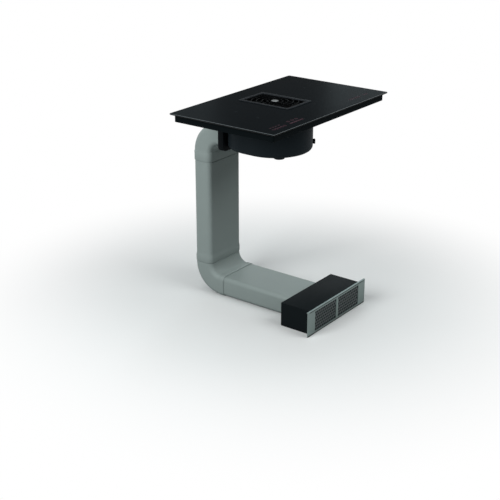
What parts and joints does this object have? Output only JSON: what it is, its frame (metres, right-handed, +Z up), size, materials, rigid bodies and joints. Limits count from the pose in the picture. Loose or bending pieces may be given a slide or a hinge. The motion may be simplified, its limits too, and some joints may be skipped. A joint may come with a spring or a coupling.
{
  "type": "downdraft cooktop",
  "caption": "Glass induction cooktop with a central ring grille, a drum-shaped downdraft blower beneath, and a flat duct leading to a plinth filter box with a mesh grille.",
  "frame": {"origin": "on the floor, on the hob's centre line, midway between plinth grille face and duct back", "axes": "+X to the cook's right, -Y towards the cook, +Z up"},
  "size_m": [0.83, 0.694, 0.908],
  "materials": {
    "black_glass": "near-black glass ceramic, polished",
    "black_seal": "black sealing tape",
    "black_sheet": "satin black powder-coated sheet steel",
    "grey_frame": "anthracite anodised aluminium",
    "bare_aluminium": "bare aluminium",
    "black_iron": "matt black enamelled casting",
    "brushed_steel": "brushed stainless steel",
    "black_plastic": "satin black moulded plastic",
    "grey_duct": "light grey moulded duct plastic",
    "copper_winding": "enamelled copper winding",
    "pale_mica": "pale mica sheet",
    "dark_ferrite": "dark sintered ferrite",
    "green_board": "green circuit board",
    "cream_block": "cream terminal plastic",
    "charcoal": "pressed activated charcoal pellets"
  },
  "bodies": {
    "hob": {"glass_top": "black_glass", "worktop_seal": "black_seal", "motor_grommets": "black_seal", "chassis_tray": "black_sheet", "filter_box": "black_sheet", "filter_box_lid": "black_sheet", "motor_body": "black_sheet", "downdraft_frame": "grey_frame", "motor_mount": "bare_aluminium", "coil_carrier_left": "bare_aluminium", "coil_carrier_right": "bare_aluminium", "heat_sink_left": "bare_aluminium", "heat_sink_right": "bare_aluminium", "motor_bearings": "brushed_steel", "blower_screws": "brushed_steel", "coil_posts": "brushed_steel", "board_standoffs": "brushed_steel", "well_liner": "black_plastic", "scroll_housing": "black_plastic", "scroll_cover": "black_plastic", "outlet_flange": "black_plastic", "drain_cap": "black_plastic", "motor_lead_gland": "black_plastic", "cable_gland": "black_plastic", "fan_frame_left": "black_plastic", "fan_frame_right": "black_plastic", "upper_elbow": "grey_duct", "lower_elbow": "grey_duct", "vertical_duct": "grey_duct", "horizontal_duct": "grey_duct", "coil_front_left": "copper_winding", "coil_front_right": "copper_winding", "coil_rear_left": "copper_winding", "coil_rear_right": "copper_winding", "insulation_sheet_left": "pale_mica", "insulation_sheet_right": "pale_mica", "ferrite_bars": "dark_ferrite", "coil_sensors": "dark_ferrite", "power_board_left": "green_board", "power_board_right": "green_board", "touch_board_left": "green_board", "touch_board_right": "green_board", "terminal_block": "cream_block"},
    "grease_filter": {"grease_filter_frame": "brushed_steel", "grease_filter_mesh": "bare_aluminium"},
    "grille": {"downdraft_grille": "black_iron", "grille_badge": "brushed_steel"},
    "impeller": {"impeller": "black_plastic", "motor_shaft": "brushed_steel"},
    "fan_left": {"fan_rotor_left": "black_plastic"},
    "fan_right": {"fan_rotor_right": "black_plastic"},
    "filter_drawer": {"charcoal_cartridge_left": "black_plastic", "charcoal_cartridge_right": "black_plastic", "charcoal_block_left": "charcoal", "charcoal_block_right": "charcoal"},
    "plinth_grille": {"plinth_frame": "brushed_steel", "plinth_mesh_left": "black_sheet", "plinth_mesh_right": "black_sheet"}
  },
  "joints": [
    {"name": "grease_filter_lift", "type": "slide", "parent": "hob", "child": "grease_filter", "axis": [0, 0, 1], "range_m": [0, 0.08]},
    {"name": "grille_lift", "type": "slide", "parent": "grease_filter", "child": "grille", "axis": [0, 0, 1], "range_m": [0, 0.05]},
    {"name": "impeller_spin", "type": "hinge", "parent": "hob", "child": "impeller", "pos_m": [0, -0.011, 0.8], "axis": [0, 0, 1], "continuous": true},
    {"name": "fan_left_spin", "type": "hinge", "parent": "hob", "child": "fan_left", "pos_m": [-0.24, -0.2475, 0.88], "axis": [0, 0, 1], "continuous": true},
    {"name": "fan_right_spin", "type": "hinge", "parent": "hob", "child": "fan_right", "pos_m": [0.24, -0.2475, 0.88], "axis": [0, 0, 1], "continuous": true},
    {"name": "filter_drawer_slide", "type": "slide", "parent": "hob", "child": "filter_drawer", "axis": [0, -1, 0], "range_m": [0, 0.13]},
    {"name": "plinth_grille_pull", "type": "slide", "parent": "filter_drawer", "child": "plinth_grille", "axis": [0, -1, 0], "range_m": [0, 0.06]}
  ]
}
